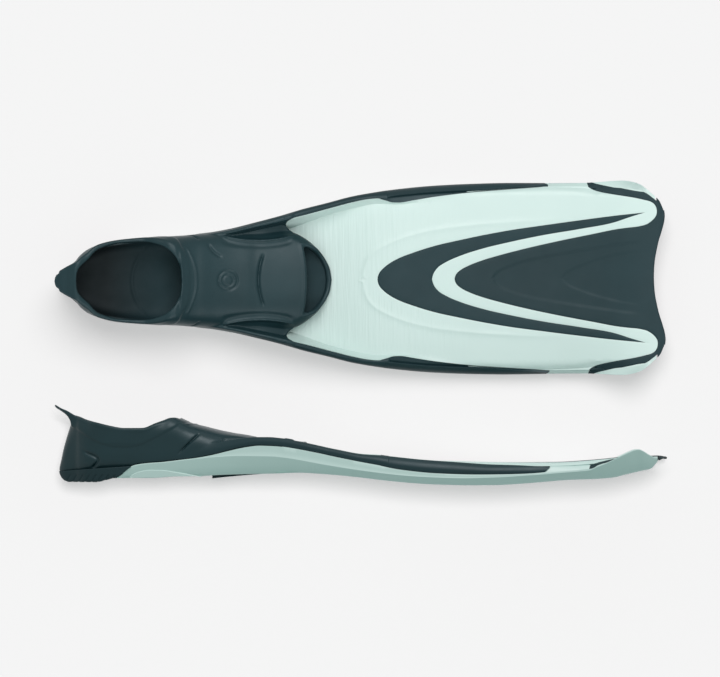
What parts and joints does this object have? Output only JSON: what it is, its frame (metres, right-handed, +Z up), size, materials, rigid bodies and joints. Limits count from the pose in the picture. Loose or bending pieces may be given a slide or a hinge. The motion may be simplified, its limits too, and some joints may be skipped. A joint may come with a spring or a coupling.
{
  "type": "swim fins",
  "caption": "Pair of full-foot swim fins: rubber foot pocket, long plastic blade with rubber V inlay, tip panel and edge caps; one fin lies flat, one on its side.",
  "frame": {"origin": "bottom centre of the box around the pair, on the ground", "axes": "+X from the heels to the blade tips, +Y from the fin on its side towards the flat fin, +Z up"},
  "size_m": [0.6408, 0.3216, 0.2059],
  "materials": {
    "blade": "satin moulded polypropylene, pale mint",
    "foot_pocket": "satin soft rubber, blue-green black",
    "chevron_insert": "satin rubber inlay",
    "tip_panel": "satin rubber inlay",
    "rail_cap_left_edge": "satin rubber",
    "rail_cap_right_edge": "satin rubber",
    "heel_outsole": "matt ribbed tread rubber",
    "sole_grip_pad": "matt grip rubber"
  },
  "bodies": {
    "left_fin": {"left_fin_blade": "blade", "left_fin_foot_pocket": "foot_pocket", "left_fin_chevron_insert": "chevron_insert", "left_fin_tip_panel": "tip_panel", "left_fin_rail_cap_left_edge": "rail_cap_left_edge", "left_fin_rail_cap_right_edge": "rail_cap_right_edge", "left_fin_heel_outsole": "heel_outsole", "left_fin_sole_grip_pad": "sole_grip_pad"},
    "right_fin": {"right_fin_blade": "blade", "right_fin_foot_pocket": "foot_pocket", "right_fin_chevron_insert": "chevron_insert", "right_fin_tip_panel": "tip_panel", "right_fin_rail_cap_left_edge": "rail_cap_left_edge", "right_fin_rail_cap_right_edge": "rail_cap_right_edge", "right_fin_heel_outsole": "heel_outsole", "right_fin_sole_grip_pad": "sole_grip_pad"}
  },
  "joints": [
    {"name": "right_fin_lift", "type": "slide", "parent": "left_fin", "child": "right_fin", "axis": [0, 0, 1], "range_m": [0, 0.2]}
  ]
}
